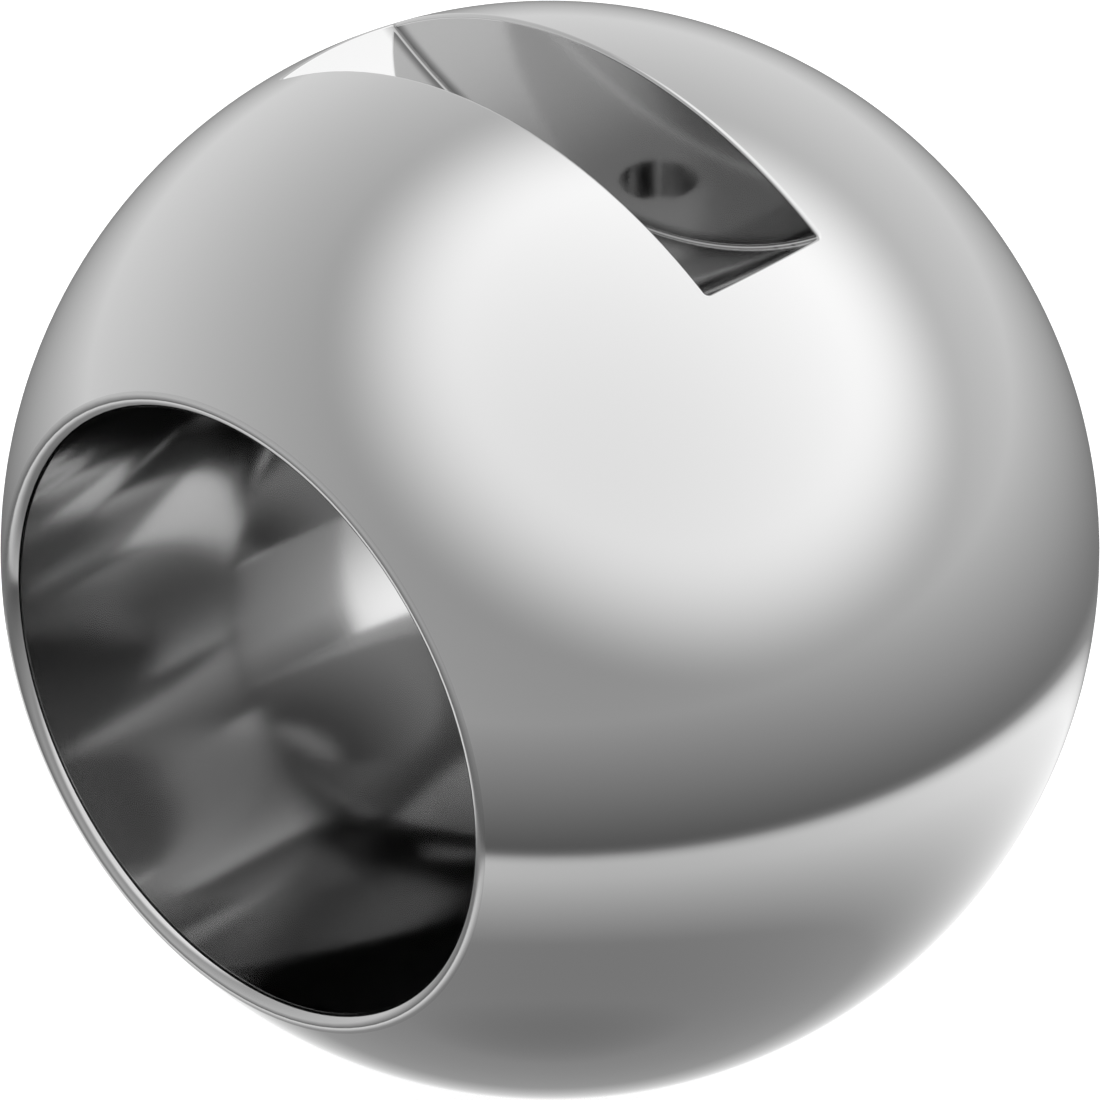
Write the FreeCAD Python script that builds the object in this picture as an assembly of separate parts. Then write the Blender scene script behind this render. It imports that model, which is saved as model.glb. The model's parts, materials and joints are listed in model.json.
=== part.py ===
"""V-port valve ball: one solid metal ball that turns between two seats in a quarter-turn control valve.

Frame: the origin is the centre of the ball. +Z points up the stem, out of the stem slot.
The round inlet bore opens towards -X. The V-shaped outlet port opens towards +X, and its point is
on the +Y side. The stem slot runs along Y, square to the bore.
All sizes are in millimetres and degrees.
"""
import FreeCAD, Part
import math
import os

# The ball and its round inlet bore, whose hollow end leaves an even wall for the outlet port
BALL_DIAMETER = 85.0
BORE_DIAMETER = 50.0
BORE_LIP_RADIUS = 0.9
PORT_WALL = 9.5

# The V-shaped outlet port: its angle, how far inside the bore's wall it stays,
# the radii of its point and its two corners, and the chamfer that breaks its outer edge
V_ANGLE = 32.0
V_STEP = 0.3
V_POINT_RADIUS = 1.0
V_CORNER_RADIUS = 1.0
V_EDGE_CHAMFER = 0.5

# The stem slot, milled by one plunge of a disc cutter, and the wall left between it and the bore
SLOT_WIDTH = 12.0
SLOT_WALL = 3.1
SLOT_CUTTER_RADIUS = 41.2
SLOT_CORNER_RADIUS = 0.3
SLOT_LIP_RADIUS = 0.3

# The vent hole from the slot's floor down into the bore
VENT_DIAMETER = 6.0

# How far a cutting tool reaches past what it cuts, and how exactly a place on an edge is compared
OVERRUN = 5.0
CLOSE = 1e-3

# Sizes that follow from those above
BALL_RADIUS = BALL_DIAMETER / 2
BORE_RADIUS = BORE_DIAMETER / 2
DISH_RADIUS = BALL_RADIUS - PORT_WALL
BORE_END = math.sqrt(DISH_RADIUS ** 2 - BORE_RADIUS ** 2)
SLOT_FLOOR = BORE_RADIUS + SLOT_WALL
CENTRE = FreeCAD.Vector(0, 0, 0)
ALONG_X = FreeCAD.Vector(1, 0, 0)
ALONG_Z = FreeCAD.Vector(0, 0, 1)


def point(x, y, z):
    """A place in the part's frame."""
    return FreeCAD.Vector(x, y, z)


def line(start, end):
    """A straight edge."""
    return Part.LineSegment(start, end).toShape()


def arc_about(centre, radius, first, last):
    """An arc in the plane Y = 0, from one direction to another, in degrees from +X towards +Z."""
    places = []
    for angle in (first, (first + last) / 2, last):
        turn = math.radians(angle)
        places.append(centre + point(radius * math.cos(turn), 0, radius * math.sin(turn)))
    return Part.Arc(*places).toShape()


def turned_ball():
    """The ball as it leaves the lathe: its outside, the rounded lip and the blind bore in one turning.

    The bore's wall stops at BORE_END, and a dish about the ball's own centre closes it.
    The section is drawn below the bore's axis, so that the seam lies under the ball.
    """
    lip_centre = point(0, 0, -BORE_RADIUS - BORE_LIP_RADIUS)
    lip_centre.x = -math.sqrt((BALL_RADIUS - BORE_LIP_RADIUS) ** 2 - lip_centre.z ** 2)
    lip_end = math.degrees(math.atan2(lip_centre.z, lip_centre.x)) + 360.0
    dish_end = math.degrees(math.atan2(-BORE_RADIUS, BORE_END)) + 360.0
    section = Part.Wire([
        line(point(BALL_RADIUS, 0, 0), point(DISH_RADIUS, 0, 0)),
        arc_about(CENTRE, DISH_RADIUS, 360.0, dish_end),
        line(point(BORE_END, 0, -BORE_RADIUS), point(lip_centre.x, 0, -BORE_RADIUS)),
        arc_about(lip_centre, BORE_LIP_RADIUS, 90.0, lip_end),
        arc_about(CENTRE, BALL_RADIUS, lip_end, 360.0),
    ])
    return Part.Face(section).revolve(CENTRE, ALONG_X, 360.0)


def v_port_cutter():
    """A prism along X with the port's outline: the point at +Y, and an arc of its circle at -Y.

    The point stands on that circle too, so the arc across from it spans twice the angle of the V.
    """
    start = BORE_END - OVERRUN
    radius = BORE_RADIUS - V_STEP
    half_arc = math.radians(V_ANGLE)
    tip = point(start, radius, 0)
    upper = point(start, -radius * math.cos(half_arc), radius * math.sin(half_arc))
    lower = point(start, upper.y, -upper.z)
    wide_end = Part.Arc(upper, point(start, -radius, 0), lower).toShape()
    outline = Part.Wire([line(tip, upper), wide_end, line(lower, tip)])
    prism = Part.Face(outline).extrude(ALONG_X * (BALL_RADIUS + OVERRUN - start))
    for radius, side in ((V_POINT_RADIUS, 1), (V_CORNER_RADIUS, -1)):
        corners = []
        for edge in prism.Edges:
            box = edge.BoundBox
            if box.YLength < CLOSE and box.ZLength < CLOSE and box.Center.y * side > 0:
                corners.append(edge)
        prism = prism.makeFillet(radius, corners)
    return prism


def slot_cutter():
    """The disc cutter at the bottom of its plunge: it leaves a hollow floor and two flat walls.

    Its section is drawn above its axis, so that its seam lies clear of the ball.
    """
    half_width = SLOT_WIDTH / 2
    axis = point(0, 0, SLOT_FLOOR + SLOT_CUTTER_RADIUS)
    rim = axis.z + SLOT_CUTTER_RADIUS
    shoulder = rim - SLOT_CORNER_RADIUS
    flat = half_width - SLOT_CORNER_RADIUS
    section = Part.Wire([
        line(point(-half_width, 0, axis.z), point(-half_width, 0, shoulder)),
        arc_about(point(-flat, 0, shoulder), SLOT_CORNER_RADIUS, 180.0, 90.0),
        line(point(-flat, 0, rim), point(flat, 0, rim)),
        arc_about(point(flat, 0, shoulder), SLOT_CORNER_RADIUS, 90.0, 0.0),
        line(point(half_width, 0, shoulder), point(half_width, 0, axis.z)),
        line(point(half_width, 0, axis.z), point(-half_width, 0, axis.z)),
    ])
    return Part.Face(section).revolve(axis, ALONG_X, 360.0)


def vent_cutter():
    """A drill down the stem's axis, from above the slot's floor into the bore."""
    return Part.makeCylinder(VENT_DIAMETER / 2, SLOT_FLOOR + OVERRUN, CENTRE, ALONG_Z)


def edges_on_ball(shape, is_wanted):
    """The edges that lie on the ball's own surface and whose middle is where is_wanted says."""
    found = []
    for edge in shape.Edges:
        middle = edge.valueAt((edge.FirstParameter + edge.LastParameter) / 2)
        places = [middle] + [vertex.Point for vertex in edge.Vertexes]
        if max(abs(place.Length - BALL_RADIUS) for place in places) > CLOSE:
            continue
        if is_wanted(middle):
            found.append(edge)
    return found


def at_v_port(place):
    """On the outlet side, no further from the bore's axis than the bore's wall."""
    return place.x > 0 and math.hypot(place.y, place.z) < BORE_RADIUS + CLOSE


def at_slot(place):
    """Above the slot's floor."""
    return place.z > SLOT_FLOOR


def valve_ball():
    """The whole ball: turned, then the port, the slot and the vent are cut and their edges finished."""
    ball = turned_ball().cut(v_port_cutter())
    ball = ball.makeChamfer(V_EDGE_CHAMFER, edges_on_ball(ball, at_v_port))
    ball = ball.cut(slot_cutter())
    ball = ball.makeFillet(SLOT_LIP_RADIUS, edges_on_ball(ball, at_slot))
    return ball.cut(vent_cutter())


os.makedirs("parts", exist_ok=True)
ball = valve_ball()
ball.exportStep("parts/ball.step")
print("ball:", len(ball.Solids), "solid,", len(ball.Faces), "faces, valid", ball.isValid(),
      "volume", round(ball.Volume, 1), "mm3, closed", ball.isClosed())
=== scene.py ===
# %% [markdown]
# # A mirror-polished V-port valve ball
#
# This notebook dresses one machined part: the ball of a quarter-turn control valve. The real ball is
# one piece of stainless steel. It is turned to a sphere and bored from one side, a V-shaped port is cut
# through the wall that is left on the other side, and a slot for the stem is milled across the top.
# Then its outside is lapped and polished until it is a mirror.
#
# A mirror has no colour of its own. Everything that you see in it is the room around it, bent by its
# shape. So two things carry the whole picture: the direction that each spot of the surface faces, and
# the studio that it reflects. Most of this notebook is about those two.

import bmesh
import bpy
import json
import math
import numpy as np
from mathutils import Matrix, Vector


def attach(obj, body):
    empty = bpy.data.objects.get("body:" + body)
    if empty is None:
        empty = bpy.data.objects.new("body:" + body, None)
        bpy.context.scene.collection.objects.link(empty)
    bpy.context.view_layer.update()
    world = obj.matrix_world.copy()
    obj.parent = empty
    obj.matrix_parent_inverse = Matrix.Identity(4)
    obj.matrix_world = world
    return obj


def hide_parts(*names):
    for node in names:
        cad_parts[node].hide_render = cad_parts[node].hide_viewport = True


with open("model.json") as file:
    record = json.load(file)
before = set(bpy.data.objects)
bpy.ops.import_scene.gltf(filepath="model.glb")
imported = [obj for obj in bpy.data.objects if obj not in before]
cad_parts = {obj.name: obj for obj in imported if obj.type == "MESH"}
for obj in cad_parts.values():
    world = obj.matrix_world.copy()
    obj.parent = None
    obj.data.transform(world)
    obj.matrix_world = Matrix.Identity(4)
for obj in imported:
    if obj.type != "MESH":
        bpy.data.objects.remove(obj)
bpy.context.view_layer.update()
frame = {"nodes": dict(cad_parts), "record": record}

# %% [markdown]
# ## The sizes of the real surfaces
#
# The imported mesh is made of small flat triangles. On a mirror that isn't enough: a flat triangle shows
# one flat piece of the room. But every surface of this part was cut by a simple motion, so each is known
# exactly: a sphere, a bored cylinder, a disc cutter's path, a prism and the round lips between them.
# The sizes come from the part's record where it gives them, and the rest are the maker's own sizes.

# %% Sizes in metres
MM = 0.001
mounts = {mount["name"]: mount for mount in frame["record"]["mounts"]}

BALL_RADIUS = 42.5 * MM
BORE_RADIUS = mounts["inlet_bore"]["dims"]["r_mm"] * MM
PORT_WALL = 9.5 * MM
DISH_RADIUS = BALL_RADIUS - PORT_WALL
MOUTH_LIP_RADIUS = 0.9 * MM
VENT_RADIUS = mounts["vent_hole"]["dims"]["r_mm"] * MM

SLOT_HALF_WIDTH = mounts["drive_face_outlet_side"]["pos_m"][0]
SLOT_CUTTER_RADIUS = 41.2 * MM
SLOT_FLOOR_HEIGHT = 28.1 * MM
SLOT_CUTTER_HEIGHT = SLOT_FLOOR_HEIGHT + SLOT_CUTTER_RADIUS
SLOT_CORNER_RADIUS = 0.3 * MM
SLOT_LIP_RADIUS = 0.3 * MM

PORT_STEP = 0.3 * MM
PORT_RADIUS = BORE_RADIUS - PORT_STEP
PORT_HALF_ANGLE = math.radians(16.0)
PORT_POINT_RADIUS = 1.0 * MM
PORT_CORNER_RADIUS = 1.0 * MM
PORT_CHAMFER = 0.5 * MM
print("bore radius", BORE_RADIUS, "slot half width", SLOT_HALF_WIDTH, "dish radius", DISH_RADIUS)

# %% [markdown]
# ## One formula for each cut
#
# Each formula below takes many points at once. It gives how far each point is outside the metal,
# measured from that surface, and the direction that the surface faces there. With these two a point can
# be moved onto the surface, and the surface can be shaded as if it had no facets at all. Some of the
# formulas are tried out on one place each, where the distance is easy to check by hand.


# %% Small vector helpers
TINY = 1e-12


def lengths(vectors):
    """The length of each row."""
    return np.sqrt((vectors**2).sum(axis=1))


def unit(vectors):
    """Each row at length one."""
    return vectors / np.maximum(lengths(vectors), TINY)[:, None]


def rows(x, y, z):
    """Three columns as one array of points or directions."""
    return np.stack(np.broadcast_arrays(x, y, z), axis=1).astype(float)


def try_out(surface, x, y, z):
    """Prints how far one place, given in mm, is outside the metal by the formula of a surface."""
    distances, _ = surface(rows([x * MM], y * MM, z * MM))
    print(f"{surface.__name__}: ({x}, {y}, {z}) is {distances[0] / MM:.2f} mm outside the metal")


# %% The turned surfaces: outside, bore, end of the bore, and the vent
def outside(p):
    """The lapped sphere."""
    return lengths(p) - BALL_RADIUS, unit(p)


def bore(p):
    """The straight wall of the inlet bore, which runs along X."""
    radial = rows(0, p[:, 1], p[:, 2])
    return BORE_RADIUS - lengths(radial), -unit(radial)


def bore_end(p):
    """The dish that ends the bore. It has the ball's own centre, so the wall behind it is even."""
    return DISH_RADIUS - lengths(p), -unit(p)


def vent(p):
    """The drilled hole from the slot's floor into the bore."""
    radial = rows(p[:, 0], p[:, 1], 0)
    return VENT_RADIUS - lengths(radial), -unit(radial)


try_out(outside, 45, 0, 0)
try_out(bore, 0, 20, 0)

# %% [markdown]
# The stem slot is the space that a disc cutter with rounded corners swept out: two flat walls, a hollow
# floor and the small fillets between them. One distance formula for such a disc covers all of them.


# %% The stem slot, as the disc cutter left it
def cutter(p):
    """How far each point is outside the disc cutter, and the direction away from it."""
    from_axis = rows(0, p[:, 1], p[:, 2] - SLOT_CUTTER_HEIGHT)
    side = np.abs(p[:, 0]) - (SLOT_HALF_WIDTH - SLOT_CORNER_RADIUS)
    rim = lengths(from_axis) - (SLOT_CUTTER_RADIUS - SLOT_CORNER_RADIUS)
    past_side, past_rim = np.maximum(side, 0), np.maximum(rim, 0)
    past = np.hypot(past_side, past_rim)
    inside = past < TINY
    to_side = np.where(inside, side > rim, past_side / np.maximum(past, TINY))
    to_rim = np.where(inside, side <= rim, past_rim / np.maximum(past, TINY))
    away = unit(from_axis) * to_rim[:, None]
    away[:, 0] = np.sign(p[:, 0]) * to_side
    return past + np.minimum(np.maximum(side, rim), 0) - SLOT_CORNER_RADIUS, away


def slot(p):
    """The walls, floor and fillets of the slot. They face the space that the cutter left."""
    distance, away = cutter(p)
    return -distance, -away


try_out(slot, 0, 0, 30)
try_out(slot, 5, 0, 35)

# %% [markdown]
# The outlet port is a prism, so its distance formula only needs Y and Z. Its outline is a V whose wide
# end is part of a circle. The point and the two corners are small arcs, each with a centre of its own.


# %% The V-shaped outlet port
def port(p):
    """The walls of the port. They face its open middle."""
    y, z, mirror = p[:, 1], np.abs(p[:, 2]), np.where(p[:, 2] < 0, -1.0, 1.0)
    sine, cosine = math.sin(PORT_HALF_ANGLE), math.cos(PORT_HALF_ANGLE)

    flank = (y - PORT_RADIUS) * sine + z * cosine
    round_end = np.hypot(y, z) - PORT_RADIUS
    on_flank = flank > round_end
    distance = np.where(on_flank, flank, round_end)
    facing = np.stack([np.where(on_flank, sine, y), np.where(on_flank, cosine, z)], axis=1)

    point_y = PORT_RADIUS - PORT_POINT_RADIUS / sine
    at_point = z * math.tan(PORT_HALF_ANGLE) < y - point_y
    from_point = np.stack([y - point_y, z], axis=1)
    distance = np.where(at_point, lengths(from_point) - PORT_POINT_RADIUS, distance)
    facing = np.where(at_point[:, None], from_point, facing)

    across = PORT_RADIUS * sine - PORT_CORNER_RADIUS
    along = math.sqrt((PORT_RADIUS - PORT_CORNER_RADIUS) ** 2 - across**2)
    corner_y = across * sine - along * cosine
    corner_z = across * cosine + along * sine
    from_corner = np.stack([y - corner_y, z - corner_z], axis=1)
    at_corner = (from_corner @ [-cosine, sine] > 0) & (from_corner @ [corner_z, -corner_y] > 0)
    distance = np.where(at_corner, lengths(from_corner) - PORT_CORNER_RADIUS, distance)
    facing = np.where(at_corner[:, None], from_corner, facing)

    facing = unit(facing)
    return -distance, rows(0, -facing[:, 0], -facing[:, 1] * mirror)


try_out(port, 35, -20, 0)

# %% [markdown]
# The lips are what a small ball would touch if it rolled along an edge inside the metal. A point of the
# lip is one lip radius away from the path of that ball's centre. For the bore's mouth the path is a
# circle. Round the slot it is the curve where two surfaces cross: the sphere and the slot, each moved
# into the metal by the lip's radius. A few steps of Newton's method find the nearest point of it.


# %% The rounded lips and the port's chamfer
LIP_STEPS = 12
LEAST_SPREAD = 1e-3


def mouth_lip(p):
    """The round lip at the mouth of the bore."""
    path_radius = BORE_RADIUS + MOUTH_LIP_RADIUS
    centre = unit(rows(0, p[:, 1], p[:, 2])) * path_radius
    centre[:, 0] = -math.sqrt((BALL_RADIUS - MOUTH_LIP_RADIUS) ** 2 - path_radius**2)
    return lengths(p - centre) - MOUTH_LIP_RADIUS, unit(p - centre)


def slot_lip(p):
    """The round lip all along the edge of the slot."""
    centre = p.copy()
    for step in range(LIP_STEPS):
        outer, outer_facing = lengths(centre) - (BALL_RADIUS - SLOT_LIP_RADIUS), unit(centre)
        inner, inner_facing = cutter(centre)
        inner = inner - SLOT_LIP_RADIUS
        lean = (outer_facing * inner_facing).sum(axis=1)
        spread = np.maximum(1 - lean**2, LEAST_SPREAD)
        centre = centre - outer_facing * ((outer - lean * inner) / spread)[:, None]
        centre = centre - inner_facing * ((inner - lean * outer) / spread)[:, None]
        path = unit(np.cross(outer_facing, inner_facing))
        centre = centre + path * ((p - centre) * path).sum(axis=1)[:, None]
    return lengths(p - centre) - SLOT_LIP_RADIUS, unit(p - centre)


def port_edge(p):
    """The chamfer round the outer edge of the port, which here faces half way between its neighbours.

    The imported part's own chamfer is up to about a tenth of a millimetre wider.
    """
    from_ball, ball_facing = outside(p)
    from_port, port_facing = port(p)
    lean = (ball_facing * port_facing).sum(axis=1)
    between = ball_facing + port_facing
    depth = PORT_CHAMFER * np.sqrt(1 - lean**2)
    return (from_ball + from_port + depth) / lengths(between), unit(between)


SURFACES = [outside, bore, bore_end, vent, slot, port, mouth_lip, slot_lip, port_edge]
print("surfaces:", [surface.__name__ for surface in SURFACES])

# %% [markdown]
# ## From loose triangles to one skin
#
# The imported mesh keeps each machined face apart, so a copy of it is welded first. Then each triangle is
# matched with the surface that it lies on, by asking every formula how far away its corners are. Near an
# edge a thin triangle can lie close to two surfaces, so a surface that faces another way than the triangle
# counts as a little further away.


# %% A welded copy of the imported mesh
WELD_DISTANCE = 1e-6
shape = bmesh.new()
shape.from_mesh(frame["nodes"]["ball"].data)
loose = len(shape.verts)
bmesh.ops.remove_doubles(shape, verts=shape.verts, dist=WELD_DISTANCE)
open_edges = sum(1 for edge in shape.edges if len(edge.link_faces) != 2)
print("welded", loose, "corners into", len(shape.verts), "and left", open_edges, "open edges")


# %% Each triangle finds the surface that it lies on
TURN_COST = 0.02 * MM


def nearest_surfaces(corners, facing):
    """For each triangle the number of its surface, and its misfit.

    The misfit is how far away its furthest corner is, and a little more where it faces another way.
    """
    costs = []
    for surface in SURFACES:
        found = [surface(corners[:, k]) for k in range(3)]
        furthest = np.max([np.abs(distance) for distance, _ in found], axis=0)
        agreement = np.min([(normal * facing).sum(axis=1) for _, normal in found], axis=0)
        costs.append(furthest + TURN_COST * (1 - agreement))
    costs = np.array(costs)
    return costs.argmin(axis=0), costs.min(axis=0)


shape.faces.ensure_lookup_table()
corners = np.array([[vert.co for vert in face.verts] for face in shape.faces])
facing = np.array([face.normal for face in shape.faces])
kinds, misfits = nearest_surfaces(corners, facing)
kind_layer = shape.faces.layers.int.new("surface")
for face, kind in zip(shape.faces, kinds):
    face[kind_layer] = int(kind)
for number, surface in enumerate(SURFACES):
    chosen = kinds == number
    worst = 1000 * misfits[chosen].max() if chosen.any() else 0
    print(f"{surface.__name__}: {chosen.sum()} triangles, largest misfit {worst:.4f} mm")

# %% [markdown]
# ## Finer where the surface bends
#
# An edge whose middle is more than a hundredth of a millimetre off its true surface is cut in two, and
# the new point is moved onto the surface. A point between two surfaces is moved onto both in turn.

# %% Split the long edges and move their middles onto the true surfaces
FINENESS = 0.01 * MM
SPLITTING_TURNS = 2
SETTLING_STEPS = 8


def settled(places, first, second):
    """The places moved onto their surfaces: onto the first and the second of each, turn by turn."""
    places = places.copy()
    for step in range(SETTLING_STEPS):
        for which in (first, second):
            for number, surface in enumerate(SURFACES):
                chosen = which == number
                if chosen.any():
                    distance, normal = surface(places[chosen])
                    places[chosen] -= normal * distance[:, None]
    return places


def on_their_surfaces(places, neighbours):
    """The places moved onto the surfaces of the faces beside each, which are one or two."""
    first = np.array([min(face[kind_layer] for face in faces) for faces in neighbours])
    second = np.array([max(face[kind_layer] for face in faces) for faces in neighbours])
    return settled(np.array(places), first, second)


for turn in range(SPLITTING_TURNS):
    edges = list(shape.edges)
    middles = [(edge.verts[0].co + edge.verts[1].co) / 2 for edge in edges]
    true_middles = on_their_surfaces(middles, [edge.link_faces for edge in edges])
    misses = lengths(true_middles - np.array(middles))
    long_edges = [edge for edge, miss in zip(edges, misses) if miss > FINENESS]
    made = bmesh.ops.subdivide_edges(shape, edges=long_edges, cuts=1)
    new = [item for item in made["geom_inner"] if isinstance(item, bmesh.types.BMVert)]
    places = on_their_surfaces([vert.co for vert in new], [vert.link_faces for vert in new])
    for vert, place in zip(new, places):
        vert.co = place
    bmesh.ops.triangulate(shape, faces=[face for face in shape.faces if len(face.verts) > 3])
    print("turn", turn + 1, "split", len(long_edges), "edges, moved", len(new), "points,",
          len(shape.faces), "triangles")

# %% [markdown]
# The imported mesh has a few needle-thin triangles in the slot's small fillets. When their edges are split,
# some new points fall on one another. Those are joined, and where that folds two triangles flat against
# each other, both go. The skin has to stay closed.

# %% Join what is closer than a micrometre
short = sum(1 for edge in shape.edges if edge.calc_length() < WELD_DISTANCE)
bmesh.ops.dissolve_degenerate(shape, dist=WELD_DISTANCE, edges=shape.edges)
bmesh.ops.triangulate(shape, faces=[face for face in shape.faces if len(face.verts) > 3])
same_corners = {}
for face in shape.faces:
    same_corners.setdefault(frozenset(face.verts), []).append(face)
folded = [face for faces in same_corners.values() if len(faces) > 1 for face in faces]
bmesh.ops.delete(shape, geom=folded, context="FACES")
open_edges = sum(1 for edge in shape.edges if len(edge.link_faces) != 2)
print("joined", short, "short edges and took out", len(folded), "folded triangles")
print("open edges:", open_edges)

# %% [markdown]
# ## The directions that a mirror needs
#
# Blender would guess the shading from the triangles, and the guess wobbles where their sizes change. On a
# mirror that shows at once. Instead, each corner of each triangle gets the exact direction of its own
# surface. Where two surfaces meet without a lip, their corners differ, and the edge stays crisp.

# %% The finished mesh, its finishes and its exact shading
POLISHED, BORED, CUT, FAR_WALL, NEAR_WALL, SLOT_FLOOR, MOUTH = range(7)
FINISH_OF = {"outside": POLISHED, "mouth_lip": MOUTH, "slot_lip": POLISHED, "port_edge": POLISHED,
             "bore": BORED, "bore_end": CUT, "vent": CUT, "port": CUT, "slot": SLOT_FLOOR}
FLAT_WALL = 0.99

shape.normal_update()
for face in shape.faces:
    kind = SURFACES[face[kind_layer]].__name__
    face.smooth = True
    face.material_index = FINISH_OF[kind]
    # The slot's flat walls get their own materials, which paint them darker than its floor as painted
    # shade.
    if kind == "slot" and abs(face.normal.x) > FLAT_WALL:
        face.material_index = FAR_WALL if face.normal.x < 0 else NEAR_WALL
kinds = np.array([face[kind_layer] for face in shape.faces])
mesh = bpy.data.meshes.new("valve_ball")
shape.to_mesh(mesh)
shape.free()

corner_points = np.zeros(3 * len(mesh.vertices))
mesh.vertices.foreach_get("co", corner_points)
corner_vertex = np.zeros(len(mesh.loops), int)
mesh.loops.foreach_get("vertex_index", corner_vertex)
points = corner_points.reshape(-1, 3)[corner_vertex]
corner_kinds = np.repeat(kinds, 3)
directions = np.zeros_like(points)
for number, surface in enumerate(SURFACES):
    chosen = corner_kinds == number
    if chosen.any():
        directions[chosen] = surface(points[chosen])[1]
mesh.normals_split_custom_set(directions.tolist())

ball = bpy.data.objects.new("valve_ball", mesh)
bpy.context.scene.collection.objects.link(ball)
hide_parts("ball")
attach(ball, "root")
print("valve_ball:", len(mesh.vertices), "vertices,", len(mesh.polygons), "triangles")

# %% [markdown]
# ## Shader maths as plain Python
#
# The class below wraps one output of a node. Adding, subtracting or multiplying such outputs makes the
# Math nodes, so a material reads like a formula. Every other node comes from its `node` method.


# %% A socket with operators
class Wire:
    """One output socket in a node tree. Python's operators on it add Math nodes."""

    def __init__(self, tree, socket=None):
        self.tree = tree
        self.socket = socket

    def node(self, kind, settings=None, sockets=None, output=0):
        """A new node: its settings are set first, then its sockets get their values or links."""
        made = self.tree.nodes.new(kind)
        for name, value in (settings or {}).items():
            if name == "stops":
                fill_ramp(made.color_ramp, value)
            else:
                setattr(made, name, value)
        for name, value in (sockets or {}).items():
            if isinstance(value, Wire):
                self.tree.links.new(value.socket, made.inputs[name])
            else:
                made.inputs[name].default_value = value
        return Wire(self.tree, made.outputs[output] if made.outputs else None)

    def math(self, operation, first, second):
        """A Math node."""
        return self.node("ShaderNodeMath", {"operation": operation}, {0: first, 1: second})

    def rise(self, nothing, full):
        """A smooth curve: 0 where this value is at nothing or before it, and 1 at full or past it."""
        return self.node("ShaderNodeMapRange", {"interpolation_type": "SMOOTHSTEP"},
                         {"Value": self, "From Min": nothing, "From Max": full})

    def __add__(self, other):
        return self.math("ADD", self, other)

    __radd__ = __add__

    def __sub__(self, other):
        return self.math("SUBTRACT", self, other)

    def __rsub__(self, other):
        return self.math("SUBTRACT", other, self)

    def __mul__(self, other):
        return self.math("MULTIPLY", self, other)

    __rmul__ = __mul__


def fill_ramp(ramp, stops):
    """Sets a colour ramp to grey stops, given as (place from 0 to 1, brightness)."""
    while len(ramp.elements) < len(stops):
        ramp.elements.new(1.0)
    for element, (place, brightness) in zip(ramp.elements, stops):
        element.position = place
        element.color = (brightness, brightness, brightness, 1.0)


# %% [markdown]
# ## The finishes, with painted shade and a painted highlight
#
# It is all one bare metal, so the finishes differ in shade and roughness, not in colour. The outside is
# lapped against ring seats and then polished, so it is almost a perfect mirror. So are the slot's lip and
# its floor. The lip of the bore's mouth is polished by hand and a little softer. The bore is turned and
# only lightly polished, and it keeps the faint rings of the tool. Its shade is far darker than the
# outside's, partly as a duller surface and partly as painted shade deep in the bore, and a wide belt half
# way down is painted lighter, as a painted highlight. The dish, the port and the vent hole are painted
# dark as well, as painted shade of the recess. The slot's two flat walls are milled. Both are painted
# darker than its floor, as painted shade, the one nearer the inlet more so. Wall and floor are also
# painted darker over the last millimetre of the corner at the foot of the far wall, as painted shade.
#
# A soft noise makes the roughness a little uneven, in patches about a centimetre wide, as polishing does.
# It reads Object coordinates, which are metres on the part itself, so the patches stay in place from
# every side. Metal that is only lightly polished looks dull from straight above and much brighter at a
# flat angle. So in the bore and the port a bright mirror is mixed in by Layer Weight, which tells how flat
# the angle is.


# %% Where on the part a finish changes, and where shade and a highlight are painted
CLOUD_SCALE = 90.0
CLOUD_DETAIL = 3.0
UNEVENNESS = 0.2
# The bore's painted highlight: a belt along X where its shade is painted lighter.
PAINTED_HIGHLIGHT_MIDDLE = 5.0 * MM
PAINTED_HIGHLIGHT_EDGE = 27.0 * MM
# How far the painted shade in the slot's far corner reaches from the corner.
PAINTED_SHADE_REACH = 1.3 * MM


def uneven(start, place, roughness):
    """The roughness, a little more or less of it in soft patches."""
    cloud = start.node("ShaderNodeTexNoise", {"noise_dimensions": "3D"},
                       {"Vector": place, "Scale": CLOUD_SCALE, "Detail": CLOUD_DETAIL}, "Fac")
    return roughness * ((1 - UNEVENNESS / 2) + UNEVENNESS * cloud)


def in_belt(start, place):
    """1 in the middle of the bore's painted highlight, a belt whose shade is painted lighter, and 0 at its
    edges.
    """
    along = start.node("ShaderNodeSeparateXYZ", None, {"Vector": place}, "X")
    away = start.node("ShaderNodeMath", {"operation": "ABSOLUTE"}, {0: along - PAINTED_HIGHLIGHT_MIDDLE})
    return away.rise(PAINTED_HIGHLIGHT_EDGE, 0.0)


def in_far_corner(start, place):
    """1 in the corner at the foot of the slot's far wall, where shade is painted, and 0 out of its reach.
    """
    across = start.node("ShaderNodeSeparateXYZ", None, {"Vector": place}, "X")
    spoke = start.node("ShaderNodeVectorMath", {"operation": "MULTIPLY_ADD"},
                       {0: place, 1: (0.0, 1.0, 1.0), 2: (0.0, 0.0, -SLOT_CUTTER_HEIGHT)}, "Vector")
    from_axis = start.node("ShaderNodeVectorMath", {"operation": "LENGTH"}, {0: spoke}, "Value")
    from_corner = SLOT_HALF_WIDTH + SLOT_CUTTER_RADIUS - across - from_axis
    return from_corner.rise(PAINTED_SHADE_REACH, SLOT_CORNER_RADIUS)


print("belt from", round(PAINTED_HIGHLIGHT_MIDDLE - PAINTED_HIGHLIGHT_EDGE, 4), "to", round(PAINTED_HIGHLIGHT_MIDDLE + PAINTED_HIGHLIGHT_EDGE, 4), "m along X")

# %% The turning tool's rings
RING_SPACING = 0.5 * MM
RING_HEIGHT = 0.0005 * MM
RING_STRETCH = 20.0
RING_DETAIL = 2.0


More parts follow.
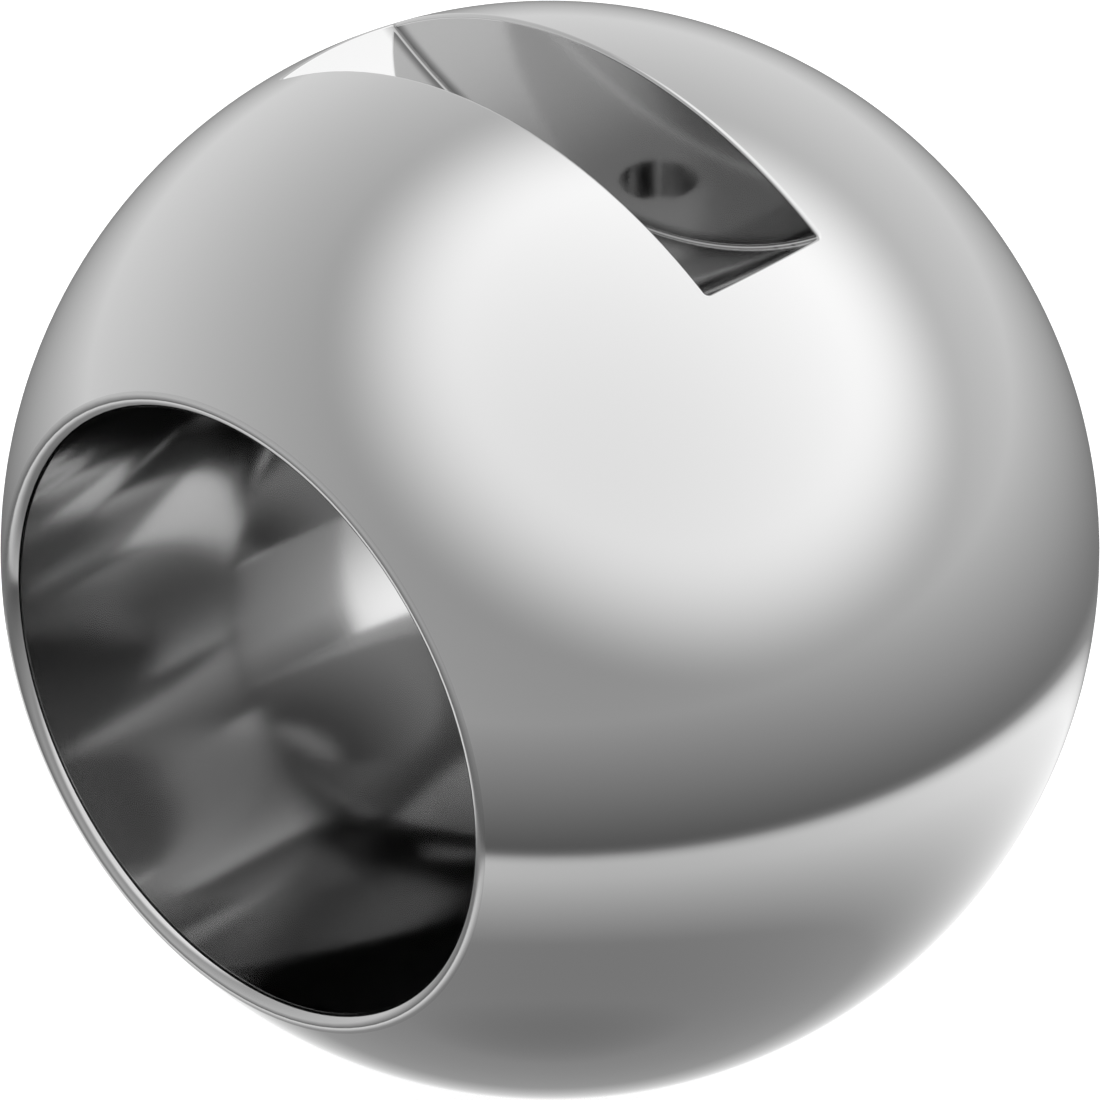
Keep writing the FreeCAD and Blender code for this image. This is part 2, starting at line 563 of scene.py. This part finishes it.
def tool_marks(start, place):
    """Faint rings round the bore, as a bump: a noise that is fine along X and stretched out across it."""
    scale = (1 / RING_SPACING, RING_STRETCH, RING_STRETCH)
    stretched = start.node("ShaderNodeMapping", {"vector_type": "POINT"}, {"Vector": place, "Scale": scale})
    marks = start.node("ShaderNodeTexNoise", {"noise_dimensions": "3D"},
                       {"Vector": stretched, "Scale": 1.0, "Detail": RING_DETAIL}, "Fac")
    return start.node("ShaderNodeBump", None,
                      {"Height": marks, "Distance": RING_HEIGHT, "Strength": 1.0}, "Normal")


print("rings every", RING_SPACING, "m,", RING_HEIGHT, "m high")

# %% Seven finishes of one steel, with painted shade and a painted highlight
POLISHED_SHADE = 0.92
POLISHED_ROUGHNESS = 0.065
FLAT_ANGLE_POWER = 1.7
WHITE = (1.0, 1.0, 1.0, 1.0)


def steel(name, shade, roughness, painted_highlight=None, corner=None, rings=False, brightens=False):
    """Bare steel. Its painted highlight is how much lighter its shade is painted half way down the bore.

    A corner is the part of its brightness that is painted off in the slot's far corner, as painted shade.
    Rings are the turning tool's marks. What brightens does so at flat angles.
    tool's marks. What brightens does so at flat angles.
    """
    material = bpy.data.materials.new(name)
    material.use_nodes = True
    material.node_tree.nodes.clear()
    start = Wire(material.node_tree)
    place = start.node("ShaderNodeTexCoord", output="Object")
    sockets = {"Base Color": (shade, shade, shade, 1.0), "Metallic": 1.0,
               "Roughness": uneven(start, place, roughness)}
    # Painted highlight: a lighter base colour in a belt half way down the bore.
    if painted_highlight:
        sockets["Base Color"] = shade + painted_highlight * in_belt(start, place)
    # Painted shade: a darker base colour in the corner at the foot of the slot's far wall.
    if corner:
        sockets["Base Color"] = shade * (1 - corner * in_far_corner(start, place))
    if rings:
        sockets["Normal"] = tool_marks(start, place)
    surface = start.node("ShaderNodeBsdfPrincipled", None, sockets, "BSDF")
    if brightens:
        flatness = start.node("ShaderNodeLayerWeight", None, {"Blend": 0.5}, "Facing")
        share = start.math("POWER", flatness, FLAT_ANGLE_POWER)
        mirror = start.node("ShaderNodeBsdfPrincipled", None, {**sockets, "Base Color": WHITE}, "BSDF")
        surface = start.node("ShaderNodeMixShader", None, {0: share, 1: surface, 2: mirror})
    start.node("ShaderNodeOutputMaterial", None, {"Surface": surface})
    return material


# In the order of the numbers POLISHED to MOUTH
FINISHES = [
    steel("polished_outside", POLISHED_SHADE, POLISHED_ROUGHNESS),
    # The bore and the port are far darker than the outside, partly as a duller surface and partly as
    # painted shade of the deep recess.
    steel("turned_bore", 0.32, 0.09, painted_highlight=0.56, rings=True, brightens=True),
    steel("cut_port", 0.44, 0.1, brightens=True),
    # Both slot walls are painted darker than the slot's floor, as painted shade, and the near wall more so.
    steel("slot_far_wall", 0.65, 0.12, corner=0.5),
    steel("slot_near_wall", 0.42, 0.12),
    # The slot's floor also gets the painted shade in the far corner.
    steel("slot_floor", POLISHED_SHADE, POLISHED_ROUGHNESS, corner=0.3),
    steel("mouth_lip", 0.82, 0.12),
]
for finish in FINISHES:
    mesh.materials.append(finish)
print("finishes:", [finish.name for finish in FINISHES])

# %% [markdown]
# ## The camera
#
# The camera looks down at the ball through a long lens, so the outline is almost a true circle that fills
# the frame. Its place was worked out from the ellipse of the bore's mouth.

# %% Camera
CAMERA_DISTANCE = 27.78 * BALL_RADIUS
CAMERA_TURN = math.radians(-44.80)
CAMERA_RISE = math.radians(31.87)
CAMERA_LEAN = math.radians(-0.31)
CAMERA_LENS = 499.3
CAMERA_NEAREST = 0.01


def heading(turn, rise):
    """A direction from the ball: turn goes round from -Y towards +X, rise goes up from the horizon."""
    return Vector((math.sin(turn) * math.cos(rise), -math.cos(turn) * math.cos(rise), math.sin(rise)))


camera_data = bpy.data.cameras.new("camera")
camera_data.lens = CAMERA_LENS
camera_data.clip_start = CAMERA_NEAREST
camera = bpy.data.objects.new("camera", camera_data)
back = heading(CAMERA_TURN, CAMERA_RISE)
aim = back.to_track_quat("Z", "Y").to_matrix().to_4x4() @ Matrix.Rotation(CAMERA_LEAN, 4, "Z")
camera.matrix_world = Matrix.Translation(back * CAMERA_DISTANCE) @ aim
bpy.context.scene.collection.objects.link(camera)
bpy.context.scene.camera = camera
print("camera at", [round(value, 3) for value in camera.location])

# %% [markdown]
# ## The studio
#
# A mirror needs a room. This one is a plain grey room with one very large round softbox overhead, whose
# edge fades out softly. Below is a pale table, and beyond its far edge is a dark gap: that edge is the
# line across the lower part of the ball. The room is written as a formula for the world: how bright it
# is in each direction. The camera itself sees plain white instead.
#
# A direction is given as turn and rise, in degrees. The softbox fades from full strength, within 37
# degrees of its middle, to nothing at 68, and one side of it is brighter. The room is a table of rises,
# from straight down to straight up, with a brightness for each, and one side of it is darker.


# %% The light and the table around the ball
def seen_from_camera(turn, rise):
    """A direction in the studio, in degrees: turn goes to the right from the camera's own side."""
    return heading(CAMERA_TURN + math.radians(turn), math.radians(rise))


SOFTBOX = seen_from_camera(59, 63.2)
SOFTBOX_EDGE = math.cos(math.radians(67.8))
SOFTBOX_FULL = math.cos(math.radians(37.3))
SOFTBOX_MIDDLE = 1.02
SOFTBOX_SLOPE = 0.29
BRIGHT_SIDE = seen_from_camera(186, -39)
DARK_SIDE = seen_from_camera(11, -23)
DARKENING = 0.40
TABLE_UP = seen_from_camera(0, 89.4)
TABLE_EDGE = -34.3
TABLE = [(-90, 0.19), (-76, 0.24), (-58, 0.27), (-48, 0.48), (-40, 0.69)]
EDGE = [(TABLE_EDGE - 1.9, 0.75), (TABLE_EDGE - 0.6, 0.575),
        (TABLE_EDGE + 0.6, 0.215), (TABLE_EDGE + 1.9, 0.135)]
WALLS = [(-20, 0.277), (-4, 0.458), (12, 0.408), (46, 0.298), (90, 0.21)]
ROOM = TABLE + EDGE + WALLS
print("softbox towards", [round(value, 3) for value in SOFTBOX], "and", len(ROOM), "greys of the room")

# %% The room that the ball reflects
world = bpy.data.worlds.new("studio")
bpy.context.scene.world = world
world.use_nodes = True
world.node_tree.nodes.clear()
sky = Wire(world.node_tree)
ray = sky.node("ShaderNodeTexCoord", output="Generated")


def toward(direction):
    """How far each ray points towards a direction: 1 is straight at it."""
    return sky.node("ShaderNodeVectorMath", {"operation": "DOT_PRODUCT"}, {0: ray, 1: direction}, "Value")


height = toward(TABLE_UP)
stops = [((math.sin(math.radians(rise)) + 1) / 2, brightness) for rise, brightness in ROOM]
room = sky.node("ShaderNodeValToRGB", {"stops": stops}, {"Fac": height * 0.5 + 0.5}, "Color")
room = room * (1 - DARKENING * toward(DARK_SIDE))
softbox = SOFTBOX_MIDDLE + SOFTBOX_SLOPE * toward(BRIGHT_SIDE)
in_softbox = toward(SOFTBOX).rise(SOFTBOX_EDGE, SOFTBOX_FULL)
brightness = (room + (softbox - room) * in_softbox) * (1 / POLISHED_SHADE)
studio = sky.node("ShaderNodeBackground", None, {"Color": brightness})
white = sky.node("ShaderNodeBackground", None, {"Color": WHITE})
is_camera = sky.node("ShaderNodeLightPath", output="Is Camera Ray")
both = sky.node("ShaderNodeMixShader", None, {0: is_camera, 1: studio, 2: white})
sky.node("ShaderNodeOutputWorld", None, {"Surface": both})
print("studio nodes:", len(world.node_tree.nodes))

# %% [markdown]
# Light that enters the bore goes from wall to wall several times before it comes out again. Blender
# follows a ray through four mirror bounces and then calls it black. Here that leaves a false black wedge
# deep in the bore, so one more bounce is allowed. What takes still more bounces is nearly black anyway.

# %% Enough bounces for the bore
MIRROR_BOUNCES = 5

bpy.context.scene.cycles.glossy_bounces = MIRROR_BOUNCES
print("mirror bounces:", bpy.context.scene.cycles.glossy_bounces)

# %% [markdown]
# The ball stands on a plain pale floor. The camera sees it as white, with the ball's own soft shadow. The
# mirror looks through it, to the table of the room's formula and the dark gap beyond that table's edge.

# %% The floor
FLOOR_RADIUS = 3.0
FLOOR_SIDES = 96
FLOOR_COLOUR = (0.8, 0.8, 0.8, 1.0)
FLOOR_GLOW = 0.8

floor_shape = bmesh.new()
bmesh.ops.create_circle(floor_shape, cap_ends=True, segments=FLOOR_SIDES, radius=FLOOR_RADIUS)
bmesh.ops.translate(floor_shape, verts=floor_shape.verts, vec=(0, 0, -BALL_RADIUS))
floor_mesh = bpy.data.meshes.new("floor")
floor_shape.to_mesh(floor_mesh)
floor_shape.free()
floor = bpy.data.objects.new("floor", floor_mesh)
bpy.context.scene.collection.objects.link(floor)

pale = bpy.data.materials.new("pale_floor")
pale.use_nodes = True
pale.node_tree.nodes.clear()
base = Wire(pale.node_tree)
is_camera = base.node("ShaderNodeLightPath", output="Is Camera Ray")
is_glossy = base.node("ShaderNodeLightPath", output="Is Glossy Ray")
card = base.node("ShaderNodeBsdfDiffuse", None, {"Color": FLOOR_COLOUR})
glow = base.node("ShaderNodeEmission", None, {"Strength": FLOOR_GLOW * is_camera})
lit = base.node("ShaderNodeAddShader", None, {0: card, 1: glow})
clear = base.node("ShaderNodeBsdfTransparent")
seen = base.node("ShaderNodeMixShader", None, {0: is_glossy, 1: lit, 2: clear})
base.node("ShaderNodeOutputMaterial", None, {"Surface": seen})
floor_mesh.materials.append(pale)
print("floor at", round(-BALL_RADIUS, 5))

# %% [markdown]
# ## Colour management
#
# The view transform is the plain one, so a grey in the studio comes out as that grey.

# %% Finish
bpy.context.scene.view_settings.view_transform = "Standard"
